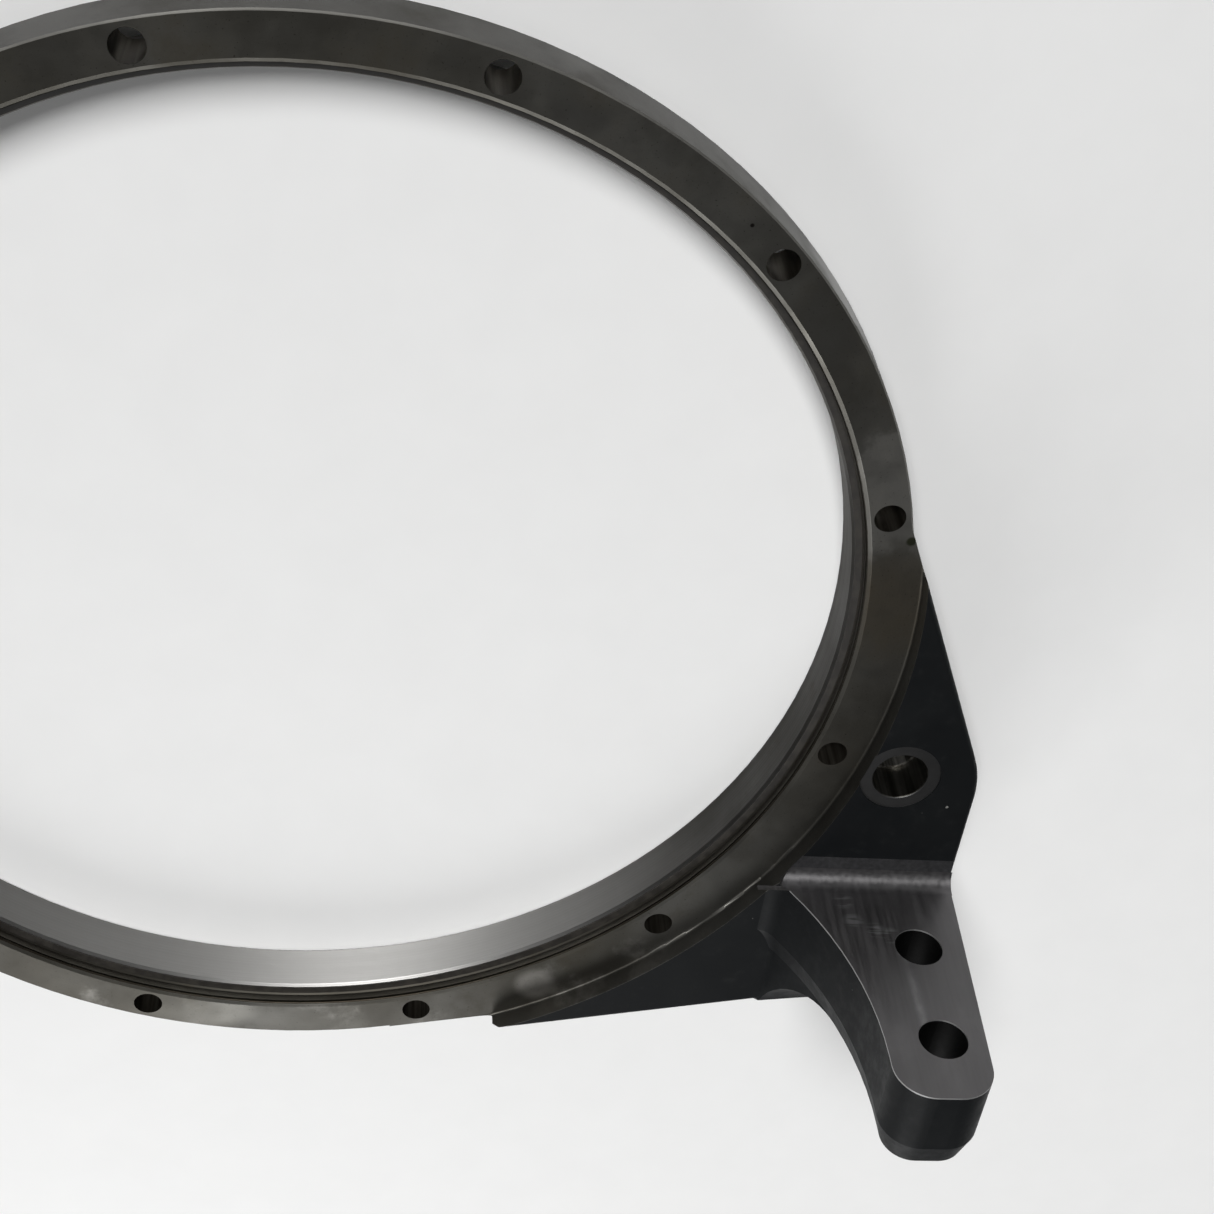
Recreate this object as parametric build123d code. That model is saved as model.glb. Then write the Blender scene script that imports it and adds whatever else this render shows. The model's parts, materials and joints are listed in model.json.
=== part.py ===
from build123d import *
from math import cos, radians, sin, sqrt
import os

# Slewing ring bearing with a mounting lug.
# Millimetres. Z is the bearing axis, +Z out of the machined flange face.
# The origin is the centre of the flange bolt circle, on the flange face.
# +X is the way the lug's upright pad faces, and the lug reaches towards -Y.

# Flange of the outer ring
BOLT_CIRCLE_DIA = 520.0
BOLT_COUNT = 12
BOLT_HOLE_DIA = 14.0
FIRST_BOLT_ANGLE = 15.0
FLANGE_RADIUS = 270.0
FLANGE_THICKNESS = 24.0
FLANGE_CHAMFER = 0.8

# Ball row, between the two rings
BALL_DIA = 4.5
BALL_COUNT = 120
BALL_CIRCLE_RADIUS = 248.4
BALL_HEIGHT = -16.0
TRACK_CLEARANCE = 0.06
OUTER_LAND_RADIUS = 249.2
INNER_LAND_RADIUS = 247.6

# Cage segments
CAGE_SEGMENTS = 6
CAGE_THICKNESS = 0.9
CAGE_HEIGHT = 7.0
CAGE_GAP_DEGREES = 0.4
POCKET_CLEARANCE = 0.2

# Inner ring
BORE_RADIUS = 244.4
INNER_TOP = -8.3
INNER_BOTTOM = -33.0
BORE_TOP_CHAMFER = 1.2
BORE_BOTTOM_CHAMFER = 0.8
FOOT_RADIUS = 251.3
FOOT_TOP = -26.0
INNER_TOP_CHAMFER = 0.4
FOOT_CHAMFER = 0.5

# Counterbore above the ball row, with the upper seal, its carrier and the retaining wire
COUNTERBORE_RADIUS = 250.0
COUNTERBORE_FLOOR = -8.0
COUNTERBORE_CHAMFER_WIDTH = 1.7
COUNTERBORE_CHAMFER_DEPTH = 0.9
WIRE_RADIUS = 0.55
WIRE_HEIGHT = -1.8
WIRE_GROOVE_HALF_WIDTH = 0.6
WIRE_GROOVE_RADIUS = 250.9
WIRE_CLEARANCE = 0.05
WIRE_END_GAP_DEGREES = 2.5
WIRE_GAP_ANGLE = 75.0
CARRIER_TOP = -2.45
CARRIER_BOTTOM = -6.9
CARRIER_INNER_RADIUS = 249.2
CARRIER_FOOT_RADIUS = 248.6
CARRIER_FOOT_HEIGHT = 0.8
SEAL_LIP_RADIUS = 245.5
SEAL_LIP_DROP = 0.5

# Lower seal, in a groove of the flange's underside
LOWER_SEAL_INNER = 249.9
LOWER_SEAL_OUTER = 251.4
LOWER_SEAL_TOP = -22.2
LOWER_SEAL_LIP_WIDTH = 0.6
LOWER_SEAL_STANDOUT = 0.4
SEAL_GAP = 0.3

# Filling plug and its pin
PLUG_ANGLE = 90.0
PLUG_DIA = 7.0
PLUG_OUTER_END = 268.5
PIN_DIA = 3.0
PIN_CIRCLE_RADIUS = 262.0
PIN_TOP = -11.5

# Grease nipples, radial in the flange rim
NIPPLE_ANGLES = (60.0, 120.0, 180.0)
NIPPLE_STEM_DIA = 6.0
NIPPLE_STEM_LENGTH = 6.0
NIPPLE_HEX_RADIUS = 4.6
NIPPLE_HEX_HEIGHT = 3.0
NIPPLE_NECK_DIA = 4.4
NIPPLE_NECK_LENGTH = 2.0
NIPPLE_HEAD_BASE_RADIUS = 3.2
NIPPLE_HEAD_TIP_RADIUS = 1.9
NIPPLE_HEAD_LENGTH = 3.4
NIPPLE_PASSAGE_DIA = 1.6
GREASE_DRILLING_DIA = 3.0

# Lug plate, raised above the flange face outside the spigot wall
PLATE_HEIGHT = 10.5
SPIGOT_RADIUS = 275.0
SPIGOT_ROOT_FILLET = 1.2
PLATE_EDGE_FILLET = 2.5
PLATE_SIDE_Y = -322.0
PLATE_FRONT = ((90, -200), (90, -249.75), (-70.6, PLATE_SIDE_Y))
PLATE_BACK = ((-209, PLATE_SIDE_Y), (-264.3, -54.5))
PLATE_CORNER_RADII = (1, 60, 18)
PLATE_INNER_RADIUS = 260.0
PLATE_END_ANGLE = -158.5
PLATE_END_SLOPE = 45.0
PLATE_END_SPACE = 80.0

# Boss bore beside the flange
BOSS_X = -71.5
BOSS_Y = -283.0
BOSS_BORE_DIA = 26.0
SPOT_FACE_DIA = 38.5
SPOT_FACE_DEPTH = 0.8
BOSS_CHAMFER = 0.5
BUSH_BORE_DIA = 23.0
BUSH_RECESS = 20.5

# Upright tab with its machined pad and two bolt holes
PAD_X = -140.0
TAB_THICKNESS = 48.0
TAB_TOP = 143.3
TAB_NEAR_Y = -271.0
TAB_FAR_Y = -316.8
TAB_NECK_Z = 120.0
TAB_SIDE_ARC = 187.0
TAB_CROWN_RADIUS = 18.0
TAB_BACK_ARC = 50.0
TAB_BACK_TAIL = 40.0
TAB_DRAFT_DEPTH = 13.0
TAB_DRAFT = 16.0
PAD_ROOT_FILLET = 8.0
TAB_ROOT_FILLET = 10.0
TAB_ROOT_SINK = 0.05
PAD_ROOT_NEAR_Y = -225.0
STRIP_WIDTH = 8.0
STRIP_DEPTH = 0.5
PAD_HOLE_DIA = 23.0
PAD_HOLE_Y = -298.0
PAD_HOLE_HEIGHTS = (53.0, 109.5)

FAR = 400.0
BOTTOM = (Align.CENTER, Align.CENTER, Align.MIN)


def turned(*points, arc=360.0, start=0.0):
    """Solid of revolution about Z from (radius, height) corner points."""
    outline = Plane.XZ * Polyline(*points, close=True)
    return Rot(0, 0, start) * revolve(make_face(outline), Axis.Z, arc)


def upright_cylinder(dia, x, y, low, high):
    return Pos(x, y, low) * Cylinder(dia / 2, high - low, align=BOTTOM)


def radial_cylinder(dia, angle, height, inner, outer):
    """Cylinder along a radius of the bearing, between two radii."""
    along_x = Pos(inner, 0, height) * Rot(0, 90, 0) * Cylinder(dia / 2, outer - inner, align=BOTTOM)
    return Rot(0, 0, angle) * along_x


def ball_track():
    """Torus that the balls run in, cut into both rings."""
    return Pos(0, 0, BALL_HEIGHT) * Torus(BALL_CIRCLE_RADIUS, BALL_DIA / 2 + TRACK_CLEARANCE)


def flange_body():
    """Turned part of the outer ring: flange, counterbore, wire groove, land and seal groove."""
    groove_top = WIRE_HEIGHT + WIRE_GROOVE_HALF_WIDTH
    groove_bottom = WIRE_HEIGHT - WIRE_GROOVE_HALF_WIDTH
    ring = turned(
        (COUNTERBORE_RADIUS + COUNTERBORE_CHAMFER_WIDTH, 0),
        (FLANGE_RADIUS - FLANGE_CHAMFER, 0),
        (FLANGE_RADIUS, -FLANGE_CHAMFER),
        (FLANGE_RADIUS, FLANGE_CHAMFER - FLANGE_THICKNESS),
        (FLANGE_RADIUS - FLANGE_CHAMFER, -FLANGE_THICKNESS),
        (LOWER_SEAL_OUTER, -FLANGE_THICKNESS),
        (LOWER_SEAL_OUTER, LOWER_SEAL_TOP),
        (LOWER_SEAL_INNER, LOWER_SEAL_TOP),
        (LOWER_SEAL_INNER, -FLANGE_THICKNESS),
        (OUTER_LAND_RADIUS, -FLANGE_THICKNESS),
        (OUTER_LAND_RADIUS, COUNTERBORE_FLOOR),
        (COUNTERBORE_RADIUS, COUNTERBORE_FLOOR),
        (COUNTERBORE_RADIUS, groove_bottom),
        (WIRE_GROOVE_RADIUS, groove_bottom),
        (WIRE_GROOVE_RADIUS, groove_top),
        (COUNTERBORE_RADIUS, groove_top),
        (COUNTERBORE_RADIUS, -COUNTERBORE_CHAMFER_DEPTH),
    )
    return ring - ball_track()


def plate_outline():
    """Plan of the lug: a straight side leaving the flange, a long edge, and a tapering side back."""
    path = FilletPolyline(*PLATE_FRONT, *PLATE_BACK, radius=list(PLATE_CORNER_RADII), close=False)
    return make_face([path, Line(PLATE_BACK[-1], PLATE_FRONT[0])])


def plate_end_ramp():
    """Space above the slope that brings the plate's thin end down to the flange face."""
    end = Rot(0, 0, PLATE_END_ANGLE) * Pos(SPIGOT_RADIUS, 0, 0)
    space = Box(PLATE_END_SPACE, PLATE_END_SPACE, PLATE_END_SPACE, align=BOTTOM)
    above_slope = end * Rot(PLATE_END_SLOPE, 0, 0) * space
    above_face = end * Box(FAR, FAR, FAR, align=BOTTOM)
    return above_slope & above_face


def spigot_recess():
    """Round space above the flange face, whose rim is the wall up to the lug plate."""
    height = PLATE_HEIGHT + 5
    space = Cylinder(SPIGOT_RADIUS, height, align=BOTTOM)
    return fillet(space.edges().sort_by(Axis.Z)[0], SPIGOT_ROOT_FILLET)


def lug_plate():
    """Raised plate beside the flange, with rounded outer top edges."""
    plate = Pos(0, 0, -FLANGE_THICKNESS) * extrude(plate_outline(), FLANGE_THICKNESS + PLATE_HEIGHT)
    rim = [edge for edge in plate.edges() if is_outer_rim(edge.center())]
    plate = fillet(rim, PLATE_EDGE_FILLET)
    plate -= Cylinder(PLATE_INNER_RADIUS, FAR)
    return plate - spigot_recess() - plate_end_ramp()


def is_outer_rim(point):
    """True for the middle of an edge that runs round the outside of the plate's top."""
    radius = sqrt(point.X ** 2 + point.Y ** 2)
    return abs(point.Z - PLATE_HEIGHT) < 0.01 and radius > FLANGE_RADIUS + 1


def tab_profile():
    """Side-on shape of the tab, in (Y, Z), widening to its root along one arc and a root fillet."""
    root_z = PLATE_HEIGHT - TAB_ROOT_SINK
    arc_centre = Vector(TAB_NEAR_Y + TAB_SIDE_ARC, TAB_NECK_Z)
    drop = TAB_NECK_Z - root_z - TAB_ROOT_FILLET
    run = sqrt((TAB_SIDE_ARC - TAB_ROOT_FILLET) ** 2 - drop ** 2)
    root_y = arc_centre.X - run
    meeting = arc_centre - Vector(run, drop).normalized() * TAB_SIDE_ARC
    root = TangentArc((root_y, root_z), meeting, tangent=(-1, 0))
    side = TangentArc((TAB_NEAR_Y, TAB_NECK_Z), meeting, tangent=(0, -1))
    crown = FilletPolyline(
        (TAB_NEAR_Y, TAB_NECK_Z),
        (TAB_NEAR_Y, TAB_TOP),
        (TAB_FAR_Y, TAB_TOP),
        (PLATE_SIDE_Y, PLATE_HEIGHT),
        radius=TAB_CROWN_RADIUS,
        close=False,
    )
    foot = Polyline((PLATE_SIDE_Y, PLATE_HEIGHT), (PLATE_SIDE_Y, 0), (root_y, 0), (root_y, root_z))
    return make_face([root, side, crown, foot])


def tab():
    """Upright tab: drafted towards its back, with a concave sweep behind that runs out into the plate."""
    back_x = PAD_X - TAB_THICKNESS
    arc_x = back_x - TAB_BACK_ARC
    arc_z = PLATE_HEIGHT + sqrt(TAB_BACK_ARC ** 2 - (TAB_BACK_ARC - TAB_BACK_TAIL) ** 2)
    profile = Plane.YZ * tab_profile()
    front = Pos(PAD_X, 0, 0) * extrude(profile, TAB_THICKNESS - TAB_DRAFT_DEPTH, dir=(-1, 0, 0))
    drafted = extrude(front.faces().sort_by(Axis.X)[0], TAB_DRAFT_DEPTH, taper=TAB_DRAFT)
    rear = extrude(drafted.faces().sort_by(Axis.X)[0], TAB_BACK_TAIL)
    block = front + drafted + rear
    block -= Pos(arc_x, 0, arc_z) * Rot(90, 0, 0) * Cylinder(TAB_BACK_ARC, FAR * 2)
    block -= Pos(back_x - FAR / 2, 0, arc_z + FAR / 2) * Box(FAR, FAR * 2, FAR)
    block = block & (Pos(0, 0, -1) * extrude(plate_outline(), FAR))
    return block - spigot_recess()


def pad_root():
    """Concave milled root between the pad and the plate."""
    size = PAD_ROOT_FILLET
    low = PLATE_HEIGHT - STRIP_DEPTH
    length = PAD_ROOT_NEAR_Y - PLATE_SIDE_Y
    middle_y = (PAD_ROOT_NEAR_Y + PLATE_SIDE_Y) / 2
    block = Pos(PAD_X + size / 2, middle_y, low + size / 2) * Box(size, length, size)
    round_cut = Pos(PAD_X + size, 0, low + size) * Rot(90, 0, 0) * Cylinder(size, FAR * 2)
    return block - round_cut - spigot_recess()


def bolt_holes():
    """Through holes of the flange, evenly spaced on the bolt circle."""
    holes = []
    for index in range(BOLT_COUNT):
        angle = radians(FIRST_BOLT_ANGLE + index * 360 / BOLT_COUNT)
        x = BOLT_CIRCLE_DIA / 2 * cos(angle)
        y = BOLT_CIRCLE_DIA / 2 * sin(angle)
        holes.append(upright_cylinder(BOLT_HOLE_DIA, x, y, -FLANGE_THICKNESS - 1, 1))
    return holes


def boss_cuts():
    """Spot face, bore and mouth chamfer of the boss."""
    spot_z = PLATE_HEIGHT - SPOT_FACE_DEPTH
    spot = upright_cylinder(SPOT_FACE_DIA, BOSS_X, BOSS_Y, spot_z, PLATE_HEIGHT + 5)
    bore = upright_cylinder(BOSS_BORE_DIA, BOSS_X, BOSS_Y, -FLANGE_THICKNESS - 1, PLATE_HEIGHT + 1)
    mouth = Cone(BOSS_BORE_DIA / 2, BOSS_BORE_DIA / 2 + BOSS_CHAMFER, BOSS_CHAMFER, align=BOTTOM)
    return [spot, bore, Pos(BOSS_X, BOSS_Y, spot_z - BOSS_CHAMFER) * mouth]


def pad_hole_cuts():
    cuts = []
    for height in PAD_HOLE_HEIGHTS:
        along_x = Rot(0, 90, 0) * Cylinder(PAD_HOLE_DIA / 2, FAR)
        cuts.append(Pos(PAD_X, PAD_HOLE_Y, height) * along_x)
    return cuts


def milled_strip():
    """Shallow milled strip on the plate in front of the pad's root."""
    width = STRIP_WIDTH + PAD_ROOT_FILLET
    place = Pos(PAD_X + width / 2, PLATE_SIDE_Y, PLATE_HEIGHT - STRIP_DEPTH)
    return place * Box(width, FAR, PLATE_HEIGHT, align=BOTTOM)


def grease_drillings():
    cuts = []
    for angle in NIPPLE_ANGLES:
        socket_floor = FLANGE_RADIUS - NIPPLE_STEM_LENGTH
        socket = radial_cylinder(NIPPLE_STEM_DIA, angle, BALL_HEIGHT, socket_floor, FLANGE_RADIUS + 5)
        drilling = radial_cylinder(GREASE_DRILLING_DIA, angle, BALL_HEIGHT, BALL_CIRCLE_RADIUS, socket_floor)
        cuts += [socket, drilling]
    return cuts


def plug_pin():
    """Pin that locks the filling plug, driven in from the underside."""
    angle = radians(PLUG_ANGLE)
    x = PIN_CIRCLE_RADIUS * cos(angle)
    y = PIN_CIRCLE_RADIUS * sin(angle)
    return upright_cylinder(PIN_DIA, x, y, -FLANGE_THICKNESS, PIN_TOP)


def filling_plug():
    """Plug of the ball filling hole; its inner end carries its share of the ball track."""
    rod = radial_cylinder(PLUG_DIA, PLUG_ANGLE, BALL_HEIGHT, BORE_RADIUS, PLUG_OUTER_END)
    return (flange_body() & rod) - plug_pin()


def outer_ring():
    """One casting: machined flange, raised lug plate with its boss, and upright tab."""
    body = flange_body() + lug_plate()
    body -= milled_strip()
    body += tab()
    body += pad_root()
    body -= radial_cylinder(PLUG_DIA, PLUG_ANGLE, BALL_HEIGHT, BALL_CIRCLE_RADIUS, FLANGE_RADIUS + 5)
    body -= plug_pin()
    for cut in bolt_holes() + boss_cuts() + pad_hole_cuts() + grease_drillings():
        body -= cut
    return body


def inner_ring():
    """Turning ring: bright bore, ball track and a foot below the flange."""
    ring = turned(
        (BORE_RADIUS + BORE_TOP_CHAMFER, INNER_TOP),
        (INNER_LAND_RADIUS - INNER_TOP_CHAMFER, INNER_TOP),
        (INNER_LAND_RADIUS, INNER_TOP - INNER_TOP_CHAMFER),
        (INNER_LAND_RADIUS, FOOT_TOP),
        (FOOT_RADIUS - FOOT_CHAMFER, FOOT_TOP),
        (FOOT_RADIUS, FOOT_TOP - FOOT_CHAMFER),
        (FOOT_RADIUS, INNER_BOTTOM + FOOT_CHAMFER),
        (FOOT_RADIUS - FOOT_CHAMFER, INNER_BOTTOM),
        (BORE_RADIUS + BORE_BOTTOM_CHAMFER, INNER_BOTTOM),
        (BORE_RADIUS, INNER_BOTTOM + BORE_BOTTOM_CHAMFER),
        (BORE_RADIUS, INNER_TOP - BORE_TOP_CHAMFER),
    )
    return ring - ball_track()


def balls():
    group = []
    for index in range(BALL_COUNT):
        turn = Rot(0, 0, (index + 0.5) * 360 / BALL_COUNT)
        group.append(turn * Pos(BALL_CIRCLE_RADIUS, 0, BALL_HEIGHT) * Sphere(BALL_DIA / 2))
    return Compound(children=group)


def cage_segment(index):
    """One thin arc of the cage, with a round pocket for each of its balls."""
    span = 360 / CAGE_SEGMENTS
    inner = BALL_CIRCLE_RADIUS - CAGE_THICKNESS / 2
    outer = BALL_CIRCLE_RADIUS + CAGE_THICKNESS / 2
    low = BALL_HEIGHT - CAGE_HEIGHT / 2
    high = BALL_HEIGHT + CAGE_HEIGHT / 2
    start = index * span + CAGE_GAP_DEGREES / 2
    corners = ((inner, low), (outer, low), (outer, high), (inner, high))
    arc = turned(*corners, arc=span - CAGE_GAP_DEGREES, start=start)
    pocket_dia = BALL_DIA + 2 * POCKET_CLEARANCE
    pitch = 360 / BALL_COUNT
    pockets = []
    for pocket in range(BALL_COUNT // CAGE_SEGMENTS):
        angle = index * span + (pocket + 0.5) * pitch
        pocket_start = inner - pocket_dia
        pockets.append(radial_cylinder(pocket_dia, angle, BALL_HEIGHT, pocket_start, outer + pocket_dia))
    return arc - pockets


def retaining_wire():
    """Round snap wire, sprung into its groove, with a gap between its ends."""
    wire_centre = WIRE_GROOVE_RADIUS - WIRE_RADIUS - WIRE_CLEARANCE
    section = Plane.XZ * (Pos(wire_centre, WIRE_HEIGHT) * Circle(WIRE_RADIUS))
    sweep_arc = 360 - WIRE_END_GAP_DEGREES
    return Rot(0, 0, WIRE_GAP_ANGLE + WIRE_END_GAP_DEGREES / 2) * revolve(section, Axis.Z, sweep_arc)


def seal_carrier():
    """Thin turned ring that clamps the upper seal; its foot leans in over the seal."""
    return turned(
        (CARRIER_INNER_RADIUS, CARRIER_TOP),
        (COUNTERBORE_RADIUS, CARRIER_TOP),
        (COUNTERBORE_RADIUS, CARRIER_BOTTOM),
        (CARRIER_FOOT_RADIUS, CARRIER_BOTTOM),
        (CARRIER_INNER_RADIUS, CARRIER_BOTTOM + CARRIER_FOOT_HEIGHT),
    )


def upper_seal():
    """Flat rubber ring, whose lip covers the gap above the inner ring."""
    return turned(
        (COUNTERBORE_RADIUS, COUNTERBORE_FLOOR),
        (COUNTERBORE_RADIUS, CARRIER_BOTTOM),
        (CARRIER_FOOT_RADIUS, CARRIER_BOTTOM),
        (SEAL_LIP_RADIUS, CARRIER_BOTTOM - SEAL_LIP_DROP),
        (SEAL_LIP_RADIUS, COUNTERBORE_FLOOR),
    )


def lower_seal():
    """Rubber ring in the underside groove, whose lip stops just above the inner ring's foot."""
    lip_end = FOOT_TOP + SEAL_GAP
    return turned(
        (LOWER_SEAL_INNER, LOWER_SEAL_TOP),
        (LOWER_SEAL_OUTER, LOWER_SEAL_TOP),
        (LOWER_SEAL_OUTER, -FLANGE_THICKNESS - LOWER_SEAL_STANDOUT),
        (LOWER_SEAL_INNER + LOWER_SEAL_LIP_WIDTH, lip_end),
        (LOWER_SEAL_INNER, lip_end),
    )


def grease_nipple(angle):
    """Cone-head nipple: stem in the rim, hexagon, neck and head with its filling hole."""
    seat = Pos(FLANGE_RADIUS, 0, BALL_HEIGHT) * Rot(0, 90, 0)
    hexagon = seat * extrude(RegularPolygon(NIPPLE_HEX_RADIUS, 6), NIPPLE_HEX_HEIGHT)
    neck_start = FLANGE_RADIUS + NIPPLE_HEX_HEIGHT
    head_start = neck_start + NIPPLE_NECK_LENGTH
    tip = head_start + NIPPLE_HEAD_LENGTH
    stem_start = FLANGE_RADIUS - NIPPLE_STEM_LENGTH
    neck = radial_cylinder(NIPPLE_NECK_DIA, 0, BALL_HEIGHT, neck_start, head_start)
    cone = Cone(NIPPLE_HEAD_BASE_RADIUS, NIPPLE_HEAD_TIP_RADIUS, NIPPLE_HEAD_LENGTH, align=BOTTOM)
    head = Pos(head_start, 0, BALL_HEIGHT) * Rot(0, 90, 0) * cone
    stem = radial_cylinder(NIPPLE_STEM_DIA, 0, BALL_HEIGHT, stem_start, FLANGE_RADIUS)
    passage = radial_cylinder(NIPPLE_PASSAGE_DIA, 0, BALL_HEIGHT, stem_start - 1, tip + 1)
    return Rot(0, 0, angle) * (stem + hexagon + neck + head - passage)


def boss_bush():
    """Plain bush pressed into the boss bore, set back from the spot face."""
    top = PLATE_HEIGHT - SPOT_FACE_DEPTH - BUSH_RECESS
    bush = upright_cylinder(BOSS_BORE_DIA, BOSS_X, BOSS_Y, -FLANGE_THICKNESS, top)
    return bush - upright_cylinder(BUSH_BORE_DIA, BOSS_X, BOSS_Y, -FLANGE_THICKNESS - 1, top + 1)


nodes = {
    "outer_ring": outer_ring(),
    "inner_ring": inner_ring(),
    "balls": balls(),
    "retaining_wire": retaining_wire(),
    "seal_carrier": seal_carrier(),
    "upper_seal": upper_seal(),
    "lower_seal": lower_seal(),
    "filling_plug": filling_plug(),
    "plug_pin": plug_pin(),
    "boss_bush": boss_bush(),
}
for index in range(CAGE_SEGMENTS):
    nodes[f"cage_segment_{index + 1}"] = cage_segment(index)
for index, nipple_angle in enumerate(NIPPLE_ANGLES):
    nodes[f"grease_nipple_{index + 1}"] = grease_nipple(nipple_angle)

os.makedirs("parts", exist_ok=True)
for name, solid in nodes.items():
    export_step(solid, f"parts/{name}.step")
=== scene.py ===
import json
from math import cos, radians, sin

import bpy
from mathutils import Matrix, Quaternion, Vector


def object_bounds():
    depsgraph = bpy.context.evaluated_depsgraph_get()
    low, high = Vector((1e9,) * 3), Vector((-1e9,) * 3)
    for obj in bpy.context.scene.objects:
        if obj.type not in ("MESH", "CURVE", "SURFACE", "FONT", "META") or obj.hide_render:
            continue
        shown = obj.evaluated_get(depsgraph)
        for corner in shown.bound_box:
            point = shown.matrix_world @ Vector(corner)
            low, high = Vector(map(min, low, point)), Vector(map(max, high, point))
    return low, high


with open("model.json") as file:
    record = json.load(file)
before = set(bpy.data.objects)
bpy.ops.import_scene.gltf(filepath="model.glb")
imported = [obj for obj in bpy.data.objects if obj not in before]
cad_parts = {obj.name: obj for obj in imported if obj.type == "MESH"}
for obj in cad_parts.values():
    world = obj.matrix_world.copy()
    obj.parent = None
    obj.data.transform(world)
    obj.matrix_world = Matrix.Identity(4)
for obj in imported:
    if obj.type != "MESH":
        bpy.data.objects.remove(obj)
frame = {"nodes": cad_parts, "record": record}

# Slewing ring bearing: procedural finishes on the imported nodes, a pale floor, soft lights and the camera.
# Metres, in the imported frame: Z is the bearing axis, z = 0 the machined flange face, the lug towards -Y.

CAD_BOUNDS = [list(corner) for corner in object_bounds()]
FLOOR_Z = CAD_BOUNDS[0][2]
FLOOR_REACH = 25.0
FLOOR_ROUGHNESS = 0.6

# Camera
CAMERA_PLACE = Vector((0.5422, -0.0163, 0.7082))
CAMERA_TARGET = Vector((0.0122, -0.1344, 0.0))
CAMERA_ROLL = 172.84
CAMERA_LENS = 60.2
CAMERA_CLIP_START = 0.01

# Light: a soft key from above the camera, and a room whose walls are pale and whose ceiling is dark
KEY_AZIMUTH = 18.0
KEY_ELEVATION = 52.0
KEY_STRENGTH = 3.05
KEY_SOFTNESS = 24.0
WALL_BRIGHTNESS = 0.45
CEILING_BRIGHTNESS = 0.06
WALL_TOP = 0.02
CEILING_START = 0.30
STUDIO_TINT = (0.97, 0.985, 1.0, 1.0)

# Window: a large weak lamp low on the far side
WINDOW_PLACE = (-2.4, 0.3, 1.1)
WINDOW_TARGET = (-0.2, 0.0, 0.0)
WINDOW_SIZE = 1.5
WINDOW_POWER = 26

# Places on the outer ring that its finish depends on
FACE_RADIUS = 0.2765
FLANGE_BOTTOM = -0.024
RIM_RADIUS = 0.2700
BOLT_CIRCLE = 0.2600
BOLT_RADIUS = 0.0070
COUNTERBORE_RADIUS = 0.2517
COUNTERBORE_TOP = -0.00092
SPIGOT_RADIUS = 0.2750
STRIP_Z = 0.0100
PAD_X = -0.140
PAD_ROOT_FRONT = -0.132
PAD_ROOT_TOP = 0.0180
STRIP_FRONT = -0.124
BOSS = (-0.0715, -0.283)
SPOT_Z = 0.0097
SPOT_RADIUS = 0.0193
BOSS_BORE_RADIUS = 0.0130
BORE_MARGIN = 0.001
PAD_HOLE_Y = -0.298
PAD_HOLE_HEIGHTS = (0.053, 0.1095)
PAD_HOLE_RADIUS = 0.0115
PAD_SCUFFS = ((-0.266, 0.024), (-0.269, 0.037), (-0.279, 0.043), (-0.2855, 0.046))
PAD_STREAK_Y = -0.2905
PAD_STREAK_BOTTOM = 0.060
PAD_STREAK_TOP = 0.102
PAD_STREAK_WIDTH = 0.0035
PAINT_CHIP = (-0.0888, -0.3094)
PAINT_CHIP_RADIUS = 0.0007

# How near a face still counts as on it, and the width of a broken edge
TOUCH = 0.0002
EDGE = 0.0008

# Least share of a normal along an axis on a face that looks along it, and most on a wall that runs along it
FACING = 0.9
ACROSS = 0.5

# Metalness, shine of the paint, turn of the brushed shine, and depths of surface marks
CASTING_METALLIC = 0.92
STEEL_METALLIC = 0.97
PAINT_SPECULAR = 0.10
BRUSH_ROTATION = 0.25
TOOL_MARK_DEPTH = 0.00005
STEEL_MARK_DEPTH = 0.00004
MOTTLE_DEPTH = 0.0001

# Part of the inner ring's bore given a painted highlight, a lighter colour where it catches the key light:
# x from start to full
PAINTED_HIGHLIGHT_SECTOR = (-0.12, -0.235)

# Part of the flange face with lighter smears, partly real smears and partly a painted sheen where the face
# catches light: x from start to full
SMEAR_AND_SHEEN_SECTOR = (-0.13, -0.22)

# Marks on the flange face: a cleaner band with soft ends, in radians round the axis, a brown patch,
# a rubbed spot beside the lug's thin end, a pit and a green stain
CLEAN_START = radians(-79.0)
CLEAN_END = radians(-66.5)
CLEAN_START_SOFTNESS = 0.025
CLEAN_END_SOFTNESS = 0.015
BROWN_PATCH = (0.0227, -0.2590)
RUBBED_SPOT = (-0.2300, -0.1265)
FACE_MARKS = (
    ((0.1999, -0.1686), 0.0011, (0.008, 0.006, 0.005, 1.0)),
    ((0.0560, -0.2630), 0.0030, (0.030, 0.034, 0.016, 1.0)),
)


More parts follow.
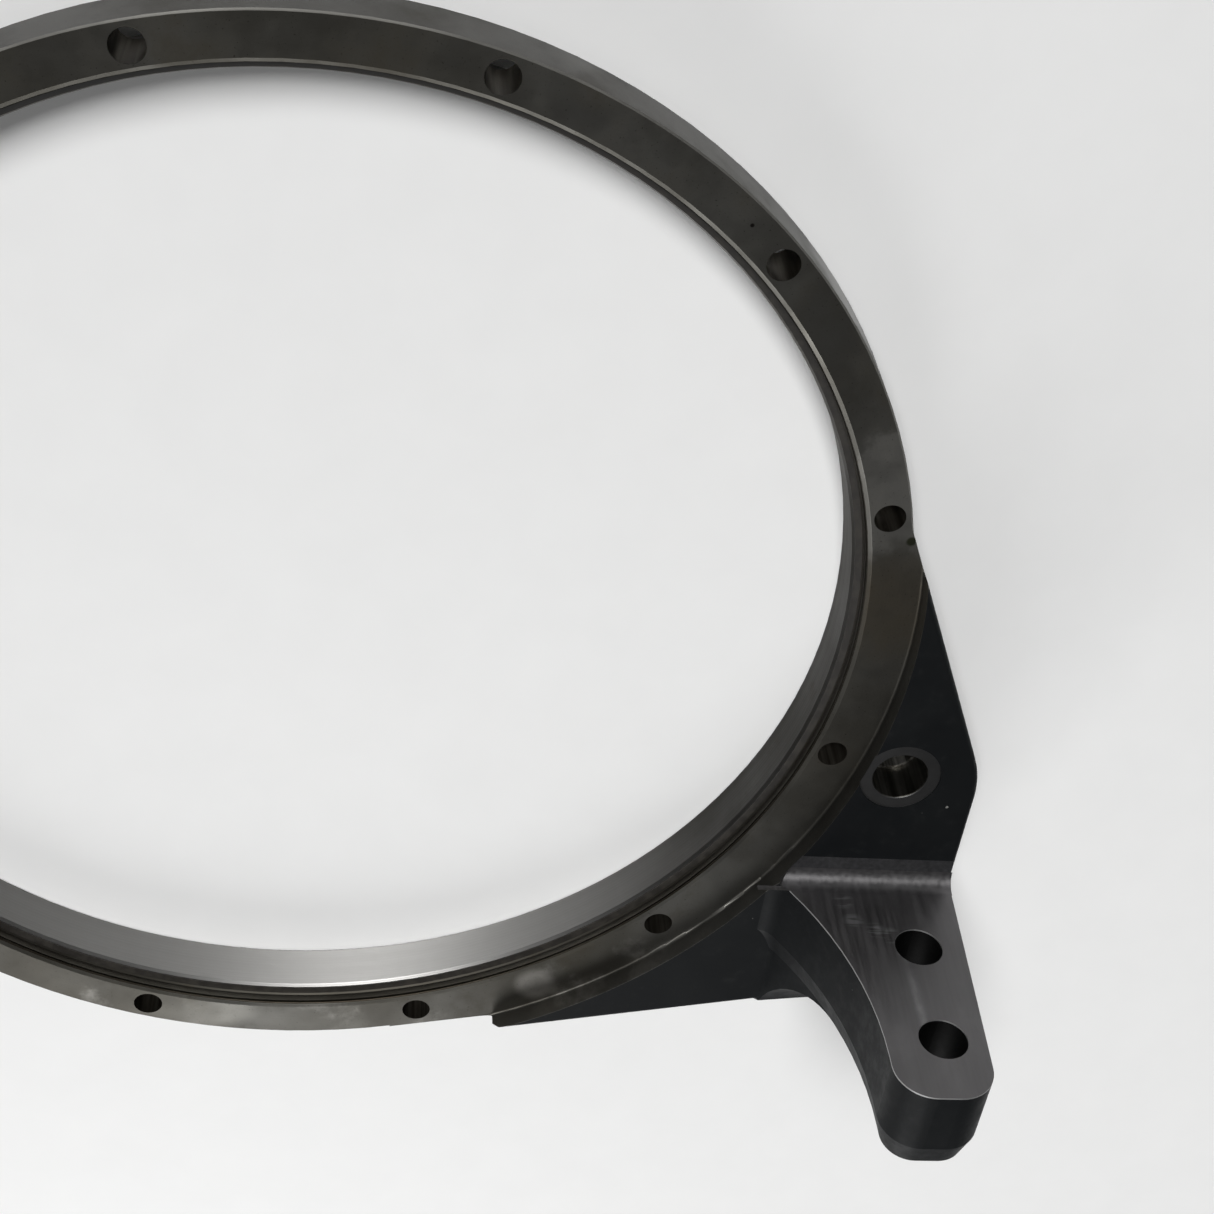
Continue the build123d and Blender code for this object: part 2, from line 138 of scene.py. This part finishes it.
class Finish:
    """A node material under construction: short calls that return output sockets."""

    def __init__(self, name):
        self.material = bpy.data.materials.new(name)
        self.material.use_nodes = True
        self.tree = self.material.node_tree
        self.shader = self.tree.nodes["Principled BSDF"]
        self.place = self.node("ShaderNodeTexCoord").outputs["Object"]
        split = self.node("ShaderNodeSeparateXYZ", Vector=self.place)
        self.x, self.y, self.z = split.outputs
        flat = self.node("ShaderNodeCombineXYZ", X=self.x, Y=self.y).outputs[0]
        self.radius = self.node("ShaderNodeVectorMath", operation="LENGTH", Vector=flat).outputs["Value"]
        normal = self.node("ShaderNodeNewGeometry").outputs["Normal"]
        self.nx, self.ny, self.nz = self.node("ShaderNodeSeparateXYZ", Vector=normal).outputs

    def node(self, kind, **settings):
        made = self.tree.nodes.new(kind)
        for key, value in settings.items():
            if key in made.inputs:
                self.put(value, made.inputs[key])
            else:
                setattr(made, key, value)
        return made

    def put(self, value, socket):
        if isinstance(value, bpy.types.NodeSocket):
            self.tree.links.new(value, socket)
        else:
            socket.default_value = value

    def math(self, operation, first, second=0.0, third=0.0):
        made = self.node("ShaderNodeMath", operation=operation)
        for socket, value in zip(made.inputs, (first, second, third)):
            self.put(value, socket)
        return made.outputs[0]

    def both(self, *masks):
        result = masks[0]
        for mask in masks[1:]:
            result = self.math("MULTIPLY", result, mask)
        return result

    def either(self, *masks):
        result = masks[0]
        for mask in masks[1:]:
            result = self.math("MAXIMUM", result, mask)
        return result

    def above(self, value, limit):
        return self.math("GREATER_THAN", value, limit)

    def below(self, value, limit):
        return self.math("LESS_THAN", value, limit)

    def near(self, value, centre, reach):
        return self.math("COMPARE", value, centre, reach)

    def size_of(self, value):
        return self.math("ABSOLUTE", value)

    def distance(self, first, second, centre):
        """Distance of the point (first, second) from a centre in the same plane."""
        point = self.node("ShaderNodeCombineXYZ", X=first, Y=second).outputs[0]
        made = self.node("ShaderNodeVectorMath", operation="DISTANCE")
        self.put(point, made.inputs[0])
        made.inputs[1].default_value = (*centre, 0.0)
        return made.outputs["Value"]

    def spread(self, value, low, high, to_low=0.0, to_high=1.0):
        """Value mapped smoothly from low..high to to_low..to_high."""
        made = self.node("ShaderNodeMapRange", interpolation_type="SMOOTHSTEP", Value=value)
        made.inputs["From Min"].default_value = low
        made.inputs["From Max"].default_value = high
        made.inputs["To Min"].default_value = to_low
        made.inputs["To Max"].default_value = to_high
        return made.outputs[0]

    def noise(self, scale, detail=4.0, roughness=0.55, stretch=(1, 1, 1), vector=None, seed=0.0):
        place = vector if vector is not None else self.place
        moved = self.node("ShaderNodeMapping", Vector=place, Scale=stretch, Location=(seed, seed, seed))
        made = self.node("ShaderNodeTexNoise", Vector=moved.outputs[0], Scale=scale, Detail=detail)
        made.inputs["Roughness"].default_value = roughness
        return made.outputs["Fac"]

    def axial_streaks(self, scale):
        """Noise drawn out along the axis, as in a drilled or reamed hole."""
        return self.noise(scale, detail=3, roughness=0.5, stretch=(1, 1, 0.04), seed=6.6)

    def turned_place(self):
        """Coordinates that change slowly round the axis and fast across it, for concentric tool marks."""
        return self.node("ShaderNodeCombineXYZ", X=self.radius, Y=self.z).outputs[0]

    def blend(self, factor, first, second):
        made = self.node("ShaderNodeMix", data_type="RGBA")
        self.put(factor, made.inputs[0])
        self.put(first, made.inputs[6])
        self.put(second, made.inputs[7])
        return made.outputs[2]

    def shift(self, factor, first, second):
        """Number that goes from first to second with the factor."""
        made = self.node("ShaderNodeMix", data_type="FLOAT")
        self.put(factor, made.inputs[0])
        self.put(first, made.inputs[2])
        self.put(second, made.inputs[3])
        return made.outputs[0]

    def bump(self, height, distance, strength):
        return self.node("ShaderNodeBump", Height=height, Distance=distance, Strength=strength).outputs[0]

    def finish(self, color, roughness, metallic, normal=None):
        self.put(color, self.shader.inputs["Base Color"])
        self.put(roughness, self.shader.inputs["Roughness"])
        self.put(metallic, self.shader.inputs["Metallic"])
        if normal is not None:
            self.put(normal, self.shader.inputs["Normal"])
        return self.material


def rgb(red, green, blue):
    return (red, green, blue, 1.0)


def flange_masks(m):
    """Where the turned faces of the flange are."""
    round_part = m.below(m.radius, FACE_RADIUS)
    top = m.both(m.near(m.z, 0.0, EDGE / 2), round_part)
    face = m.either(top, m.near(m.z, FLANGE_BOTTOM, TOUCH))
    outer_edge = m.both(m.near(m.radius, RIM_RADIUS - EDGE / 2, EDGE / 2), m.below(m.z, -TOUCH / 4))
    outer_edge = m.both(outer_edge, m.above(m.z, -EDGE))
    inner_edge = m.both(m.below(m.radius, COUNTERBORE_RADIUS), m.below(m.z, -TOUCH))
    inner_edge = m.both(inner_edge, m.above(m.z, COUNTERBORE_TOP))
    rim = m.both(m.near(m.radius, RIM_RADIUS, TOUCH), m.below(m.z, -EDGE))
    counterbore = m.both(m.below(m.radius, COUNTERBORE_RADIUS), m.below(m.z, COUNTERBORE_TOP))
    holes = m.both(m.near(m.radius, BOLT_CIRCLE, BOLT_RADIUS + TOUCH), m.below(m.z, -TOUCH))
    holes = m.both(holes, m.below(m.size_of(m.nz), ACROSS))
    wall = m.both(m.below(m.radius, SPIGOT_RADIUS + TOUCH), m.above(m.radius, SPIGOT_RADIUS - 2 * EDGE))
    wall = m.both(wall, m.above(m.z, EDGE / 2))
    return face, outer_edge, inner_edge, rim, counterbore, holes, wall


def lug_masks(m):
    """Where the milled and bored faces of the lug are."""
    pad = m.both(m.near(m.x, PAD_X, TOUCH), m.above(m.z, STRIP_Z - TOUCH), m.above(m.nx, FACING))
    root = m.both(m.below(m.x, PAD_ROOT_FRONT + TOUCH), m.above(m.x, PAD_X + TOUCH))
    root = m.both(root, m.above(m.z, STRIP_Z - TOUCH), m.below(m.z, PAD_ROOT_TOP + TOUCH))
    strip = m.both(m.near(m.z, STRIP_Z, TOUCH), m.below(m.x, STRIP_FRONT), m.above(m.x, PAD_ROOT_FRONT))
    pad_edge = m.both(m.above(m.x, PAD_X - EDGE), m.below(m.x, PAD_X + TOUCH), m.above(m.z, PAD_ROOT_TOP))
    pad_edge = m.both(pad_edge, m.below(m.nx, FACING))
    from_boss = m.distance(m.x, m.y, BOSS)
    spot = m.both(m.near(m.z, SPOT_Z, TOUCH), m.below(from_boss, SPOT_RADIUS))
    bore = m.both(m.below(from_boss, BOSS_BORE_RADIUS + BORE_MARGIN), m.below(m.z, SPOT_Z - TOUCH))
    holes = [m.distance(m.y, m.z, (PAD_HOLE_Y, height)) for height in PAD_HOLE_HEIGHTS]
    holes = m.either(*[m.below(hole, PAD_HOLE_RADIUS + TOUCH) for hole in holes])
    holes = m.both(holes, m.below(m.size_of(m.nx), ACROSS))
    return pad, root, strip, pad_edge, spot, bore, holes


def machined_face_color(m):
    """Dark oil-stained steel: brown patches, two places rubbed bright, and small pits."""
    cloud = m.noise(7, detail=5, seed=3.1)
    stain = m.noise(26, detail=7, roughness=0.62, seed=7.7)
    rubbed = m.noise(17, detail=3, roughness=0.4, seed=12.4)
    pits = m.noise(900, detail=2, seed=1.3)
    ragged = m.spread(m.noise(60, detail=5, seed=2.9), 0.25, 0.75, -0.03, 0.03)
    angle = m.math("ADD", m.math("ARCTAN2", m.y, m.x), ragged)
    clean_start = m.spread(angle, CLEAN_START - CLEAN_START_SOFTNESS, CLEAN_START + CLEAN_START_SOFTNESS)
    clean_end = m.spread(angle, CLEAN_END - CLEAN_END_SOFTNESS, CLEAN_END + CLEAN_END_SOFTNESS, 1.0, 0.0)
    brown = m.spread(m.distance(m.x, m.y, BROWN_PATCH), 0.012, 0.040, 0.5, 0.0)
    spot_place = m.distance(m.x, m.y, RUBBED_SPOT)
    rubbed_spot = m.spread(spot_place, 0.006, 0.013, 1.0, 0.0)
    rubbed_spot = m.both(rubbed_spot, m.spread(stain, 0.30, 0.55, 0.5, 1.0))
    # Lighter smears on the far side only: partly real smears, partly a painted sheen where the face catches
    # light.
    far_side = m.spread(m.x, *SMEAR_AND_SHEEN_SECTOR)
    smears_and_sheen = m.both(far_side, m.spread(m.noise(24, detail=6, roughness=0.6, seed=31.0), 0.52, 0.70))
    color = m.blend(m.spread(cloud, 0.36, 0.66), rgb(0.070, 0.066, 0.056), rgb(0.120, 0.117, 0.107))
    color = m.blend(m.spread(stain, 0.50, 0.70, 0, 0.6), color, rgb(0.058, 0.051, 0.038))
    color = m.blend(brown, color, rgb(0.075, 0.060, 0.038))
    color = m.blend(m.spread(rubbed, 0.62, 0.78, 0, 0.6), color, rgb(0.19, 0.186, 0.17))
    # smears and painted sheen
    color = m.blend(m.math("MULTIPLY", smears_and_sheen, 0.6), color, rgb(0.30, 0.29, 0.27))
    color = m.blend(m.math("MULTIPLY", m.both(clean_start, clean_end), 0.6), color, rgb(0.22, 0.215, 0.20))
    color = m.blend(m.math("MULTIPLY", rubbed_spot, 0.8), color, rgb(0.26, 0.25, 0.23))
    color = m.blend(m.spread(pits, 0.64, 0.74, 0, 0.55), color, rgb(0.018, 0.014, 0.010))
    for place, reach, tint in FACE_MARKS:
        mark = m.spread(m.distance(m.x, m.y, place), reach * 0.5, reach, 0.9, 0.0)
        color = m.blend(mark, color, tint)
    rough = m.shift(m.spread(rubbed, 0.58, 0.74), m.spread(stain, 0.35, 0.7, 0.40, 0.54), 0.32)
    return color, rough


def paint_color(m):
    """Near-black paint over cast iron, a little uneven and dusty, with tiny chips."""
    cloud = m.noise(11, detail=5, seed=21.0)
    dust = m.noise(130, detail=6, roughness=0.7, seed=4.4)
    chips = m.spread(m.noise(330, detail=1, seed=9.2), 0.83, 0.85)
    chip = m.both(m.below(m.distance(m.x, m.y, PAINT_CHIP), PAINT_CHIP_RADIUS), m.above(m.nz, ACROSS))
    color = m.blend(m.spread(cloud, 0.35, 0.65), rgb(0.0050, 0.0057, 0.0064), rgb(0.0078, 0.0086, 0.0092))
    color = m.blend(m.spread(dust, 0.52, 0.80, 0, 0.5), color, rgb(0.017, 0.018, 0.018))
    color = m.blend(chips, color, rgb(0.10, 0.10, 0.095))
    color = m.blend(chip, color, rgb(0.18, 0.18, 0.17))
    return color, m.spread(dust, 0.3, 0.7, 0.46, 0.60)


def pad_finish(m):
    """Milled steel: fine upright cutter marks, a lighter streak between the holes, scuffs by the root."""
    grain = m.noise(420, detail=5, roughness=0.6, stretch=(1, 1, 0.06), seed=5.0)
    cloud = m.noise(34, detail=5, roughness=0.55, stretch=(1, 1, 0.45), seed=8.3)
    streak = m.spread(m.size_of(m.math("SUBTRACT", m.y, PAD_STREAK_Y)), 0.0, PAD_STREAK_WIDTH, 1.0, 0.0)
    streak = m.both(streak, m.spread(cloud, 0.35, 0.6))
    streak = m.both(streak, m.above(m.z, PAD_STREAK_BOTTOM), m.below(m.z, PAD_STREAK_TOP))
    scratches = m.noise(300, detail=3, roughness=0.5, stretch=(1, 0.12, 1), seed=2.2)
    near_scuffs = [m.spread(m.distance(m.y, m.z, place), 0.0015, 0.0065, 1.0, 0.0) for place in PAD_SCUFFS]
    scuffs = m.both(m.spread(scratches, 0.46, 0.58), m.either(*near_scuffs))
    color = m.blend(m.spread(grain, 0.30, 0.72), rgb(0.111, 0.108, 0.110), rgb(0.128, 0.125, 0.127))
    color = m.blend(m.spread(cloud, 0.42, 0.68, 0, 0.7), color, rgb(0.168, 0.163, 0.167))
    color = m.blend(m.math("MULTIPLY", m.either(streak, scuffs), 0.7), color, rgb(0.33, 0.33, 0.335))
    return color, m.spread(grain, 0.3, 0.7, 0.34, 0.48), grain


def casting():
    """Outer ring: turned, stained flange; near-black paint on the lug; milled pad and bored boss."""
    m = Finish("casting")
    face, outer_edge, inner_edge, rim, counterbore, bolt_walls, wall = flange_masks(m)
    pad, root, strip, pad_edge, spot, bore, pad_holes = lug_masks(m)
    face_color, face_rough = machined_face_color(m)
    paint, paint_rough = paint_color(m)
    pad_color, pad_rough, pad_grain = pad_finish(m)
    lathe = m.noise(1500, detail=3, vector=m.turned_place())
    cast_skin = m.noise(700, detail=5, roughness=0.6, seed=15.0)
    bore_streaks = m.spread(m.axial_streaks(260), 0.36, 0.72)
    milled = m.either(pad, root)

    color = m.blend(face, paint, face_color)
    color = m.blend(wall, color, m.blend(0.5, face_color, rgb(0.060, 0.059, 0.055)))
    color = m.blend(rim, color, m.blend(0.4, face_color, rgb(0.060, 0.060, 0.058)))
    bolt_color = m.blend(bore_streaks, rgb(0.040, 0.034, 0.026), rgb(0.13, 0.12, 0.10))
    color = m.blend(bolt_walls, color, bolt_color)
    # Counterbore wall: near black, a painted shade where the wall lies in the counterbore's shadow.
    color = m.blend(counterbore, color, rgb(0.022, 0.018, 0.013))
    color = m.blend(inner_edge, color, m.blend(0.35, face_color, rgb(0.065, 0.062, 0.055)))
    # Outer chamfer: a painted highlight, a light line where the edge catches the light.
    color = m.blend(outer_edge, color, rgb(0.20, 0.195, 0.18))
    color = m.blend(milled, color, pad_color)
    strip_color = m.blend(m.spread(pad_grain, 0.3, 0.7), rgb(0.072, 0.072, 0.075), rgb(0.098, 0.098, 0.102))
    color = m.blend(strip, color, strip_color)
    color = m.blend(spot, color, rgb(0.088, 0.088, 0.088))
    # Boss bore: darkened into a painted shade over its upper part, with reamed streaks.
    boss_bore_color = m.blend(bore_streaks, rgb(0.016, 0.015, 0.012), rgb(0.075, 0.072, 0.064))
    color = m.blend(bore, color, boss_bore_color)
    # Pad hole walls: near black, a painted shade inside the holes.
    color = m.blend(pad_holes, color, rgb(0.006, 0.006, 0.006))
    # Pad edge: a painted highlight, a near white line along the edge that catches the key light.
    color = m.blend(pad_edge, color, rgb(0.42, 0.42, 0.42))

    turned = m.either(face, wall, rim, outer_edge, inner_edge, counterbore, bolt_walls, spot, bore)
    metal = m.either(turned, milled, strip, pad_edge, pad_holes)
    rough = m.shift(turned, paint_rough, face_rough)
    rough = m.shift(milled, rough, pad_rough)
    height = m.shift(turned, cast_skin, lathe)
    height = m.shift(milled, height, pad_grain)
    m.shader.inputs["Specular IOR Level"].default_value = PAINT_SPECULAR
    metallic = m.math("MULTIPLY", metal, CASTING_METALLIC)
    return m.finish(color, rough, metallic, m.bump(height, TOOL_MARK_DEPTH, 0.55))


def turned_steel(name, dark, light, rough, grain=1700, stain=0.0, brushed=0.0, polished=None, streak=None):
    """Turned steel: rings of tool marks, faint clouds, a few darker stains, and, where they are asked for,
    a painted highlight on the far side and light streaks along the axis, reamed marks whose bright colour
    is a painted highlight."""
    m = Finish(name)
    cloud = m.noise(13, detail=5, seed=2.0)
    spots = m.noise(60, detail=6, roughness=0.65, seed=6.0)
    lathe = m.noise(grain, detail=4, roughness=0.6, vector=m.turned_place())
    color = m.blend(m.spread(cloud, 0.35, 0.68), dark, light)
    color = m.blend(m.spread(lathe, 0.35, 0.75, 0, 0.35), color, dark)
    color = m.blend(m.spread(spots, 0.56, 0.74, 0, stain), color, rgb(0.06, 0.05, 0.036))
    if polished:
        # Painted highlight: the colour lightens towards -x, where the bore catches the key light.
        color = m.blend(m.spread(m.x, *PAINTED_HIGHLIGHT_SECTOR), color, polished)
    if streak:
        # Streaks along the axis: reamed marks, and where their colour is bright they are a painted
        # highlight.
        color = m.blend(m.spread(m.axial_streaks(330), 0.38, 0.66), color, streak)
    roughness = m.spread(lathe, 0.3, 0.7, rough - 0.05, rough + 0.07)
    if brushed:
        m.shader.inputs["Anisotropic"].default_value = brushed
        m.shader.inputs["Anisotropic Rotation"].default_value = BRUSH_ROTATION
        tangent = m.node("ShaderNodeTangent", direction_type="RADIAL", axis="Z").outputs[0]
        m.put(tangent, m.shader.inputs["Tangent"])
    return m.finish(color, roughness, STEEL_METALLIC, m.bump(lathe, STEEL_MARK_DEPTH, 0.5))


def moulded(name, dark, light, rough):
    """Rubber or nylon with a faint mottle."""
    m = Finish(name)
    mottle = m.noise(220, detail=4)
    color = m.blend(m.spread(mottle, 0.4, 0.65), dark, light)
    roughness = m.spread(mottle, 0.3, 0.7, rough, rough + 0.12)
    return m.finish(color, roughness, 0.0, m.bump(mottle, MOTTLE_DEPTH, 0.4))


def floor_finish():
    m = Finish("floor")
    grain = m.noise(30, detail=3)
    color = m.blend(grain, rgb(0.80, 0.80, 0.795), rgb(0.84, 0.84, 0.835))
    return m.finish(color, FLOOR_ROUGHNESS, 0.0)


def make_floor():
    mesh = bpy.data.meshes.new("floor")
    reach = FLOOR_REACH
    corners = [(-reach, -reach), (reach, -reach), (reach, reach), (-reach, reach)]
    mesh.from_pydata([(x, y, FLOOR_Z) for x, y in corners], [], [(0, 1, 2, 3)])
    floor = bpy.data.objects.new("floor", mesh)
    floor.data.materials.append(floor_finish())
    bpy.context.scene.collection.objects.link(floor)


def look_along(target, place):
    return (target - place).to_track_quat("-Z", "Y")


def make_camera():
    camera = bpy.data.objects.new("camera", bpy.data.cameras.new("camera"))
    camera.data.lens = CAMERA_LENS
    camera.data.clip_start = CAMERA_CLIP_START
    camera.location = CAMERA_PLACE
    camera.rotation_mode = "QUATERNION"
    roll = Quaternion((0.0, 0.0, 1.0), radians(CAMERA_ROLL))
    camera.rotation_quaternion = look_along(CAMERA_TARGET, CAMERA_PLACE) @ roll
    bpy.context.scene.collection.objects.link(camera)
    bpy.context.scene.camera = camera


def area_light(name, place, target, size, power):
    light = bpy.data.lights.new(name, "AREA")
    light.shape = "DISK"
    light.size = size
    light.energy = power
    lamp = bpy.data.objects.new(name, light)
    lamp.location = place
    lamp.rotation_mode = "QUATERNION"
    lamp.rotation_quaternion = look_along(Vector(target), Vector(place))
    bpy.context.scene.collection.objects.link(lamp)


def sun(name, azimuth, elevation, strength, softness):
    light = bpy.data.lights.new(name, "SUN")
    light.energy = strength
    light.angle = radians(softness)
    lamp = bpy.data.objects.new(name, light)
    level = cos(radians(elevation))
    place = Vector((level * cos(radians(azimuth)), level * sin(radians(azimuth)), sin(radians(elevation))))
    lamp.location = place
    lamp.rotation_mode = "QUATERNION"
    lamp.rotation_quaternion = look_along(Vector((0, 0, 0)), place)
    bpy.context.scene.collection.objects.link(lamp)


def make_studio():
    """Pale walls near the horizon that fade into a dark ceiling, so that flat steel reads dark."""
    world = bpy.data.worlds.new("studio")
    world.use_nodes = True
    nodes = world.node_tree.nodes
    links = world.node_tree.links
    background = nodes["Background"]
    direction = nodes.new("ShaderNodeTexCoord")
    split = nodes.new("ShaderNodeSeparateXYZ")
    fade = nodes.new("ShaderNodeMapRange")
    fade.interpolation_type = "SMOOTHSTEP"
    fade.inputs["From Min"].default_value = WALL_TOP
    fade.inputs["From Max"].default_value = CEILING_START
    fade.inputs["To Min"].default_value = WALL_BRIGHTNESS
    fade.inputs["To Max"].default_value = CEILING_BRIGHTNESS
    links.new(direction.outputs["Generated"], split.inputs[0])
    links.new(split.outputs["Z"], fade.inputs["Value"])
    links.new(fade.outputs[0], background.inputs["Strength"])
    background.inputs["Color"].default_value = STUDIO_TINT
    bpy.context.scene.world = world


def make_lights():
    make_studio()
    sun("key", KEY_AZIMUTH, KEY_ELEVATION, KEY_STRENGTH, KEY_SOFTNESS)
    area_light("window", WINDOW_PLACE, WINDOW_TARGET, WINDOW_SIZE, WINDOW_POWER)
    bpy.context.scene.view_settings.view_transform = "Standard"


FINISHES = {
    "casting": casting(),
    "bearing_steel": turned_steel(
        "bearing_steel",
        rgb(0.085, 0.082, 0.076),
        rgb(0.150, 0.147, 0.141),
        0.50,
        stain=0.35,
        brushed=0.93,
        # painted highlight on the bore's far side
        polished=rgb(0.34, 0.335, 0.325),
    ),
    "ball_steel": turned_steel("ball_steel", rgb(0.60, 0.60, 0.60), rgb(0.72, 0.72, 0.72), 0.12),
    "spring_steel": turned_steel("spring_steel", rgb(0.030, 0.025, 0.018), rgb(0.05, 0.044, 0.034), 0.42),
    "carrier_steel": turned_steel(
        "carrier_steel", rgb(0.050, 0.046, 0.038), rgb(0.085, 0.080, 0.068), 0.38, stain=0.6
    ),
    "seal_rubber": moulded("seal_rubber", rgb(0.012, 0.010, 0.008), rgb(0.022, 0.019, 0.015), 0.5),
    "plug_steel": turned_steel("plug_steel", rgb(0.10, 0.10, 0.095), rgb(0.16, 0.155, 0.15), 0.4),
    "bush_steel": turned_steel(
        # bright streaks: a painted highlight over reamed marks in the deep part of the boss bore
        "bush_steel", rgb(0.10, 0.095, 0.082), rgb(0.16, 0.15, 0.13), 0.35, streak=rgb(0.50, 0.49, 0.46)
    ),
    "cage_plastic": moulded("cage_plastic", rgb(0.42, 0.38, 0.25), rgb(0.50, 0.46, 0.32), 0.45),
    "nipple_steel": turned_steel("nipple_steel", rgb(0.42, 0.36, 0.20), rgb(0.55, 0.48, 0.28), 0.3),
}

for part in frame["record"]["subparts"]:
    packed = frame["nodes"][part["node"]]
    for slot in packed.material_slots:
        slot.material = FINISHES[part["material_slot"]]

make_floor()
make_lights()
make_camera()
